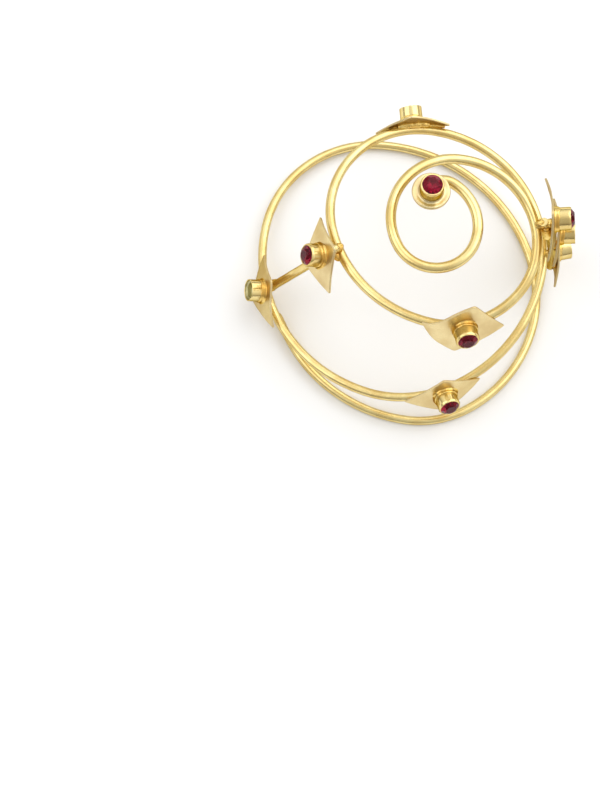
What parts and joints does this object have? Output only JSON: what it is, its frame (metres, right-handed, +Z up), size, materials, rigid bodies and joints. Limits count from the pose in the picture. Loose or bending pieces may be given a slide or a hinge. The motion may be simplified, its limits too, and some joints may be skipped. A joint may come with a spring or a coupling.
{
  "type": "bun cage",
  "caption": "Openwork dome of spirally wound gilt wire that sits over a hair bun, with bent lozenge leaves whose round cups hold faceted red stones.",
  "frame": {"origin": "centre of the bounding box on the surface that the foot turn lies on", "axes": "+Z up from the head to the crown disc, +X towards the bowed post with its three leaves, -Y towards the two front leaves"},
  "size_m": [0.0826, 0.0762, 0.0532],
  "materials": {
    "gilt": "satin polished pale yellow gold plate",
    "garnet": "faceted and polished"
  },
  "bodies": {
    "root": {"crown_curl": "gilt", "upper_turn": "gilt", "lower_turn": "gilt", "foot_turn": "gilt", "left_strut": "gilt", "right_post": "gilt", "leaf_crown_left": "gilt", "leaf_crown_front": "gilt", "leaf_crown_back": "gilt", "leaf_crown_right": "gilt", "leaf_lower_left": "gilt", "leaf_lower_front": "gilt", "leaf_lower_right": "gilt", "leaf_foot_right": "gilt", "crown_setting": "gilt", "garnet_crown": "garnet", "garnet_crown_left": "garnet", "garnet_crown_front": "garnet", "garnet_crown_back": "garnet", "garnet_crown_right": "garnet", "garnet_lower_front": "garnet", "garnet_lower_right": "garnet", "garnet_foot_right": "garnet"}
  },
  "joints": []
}
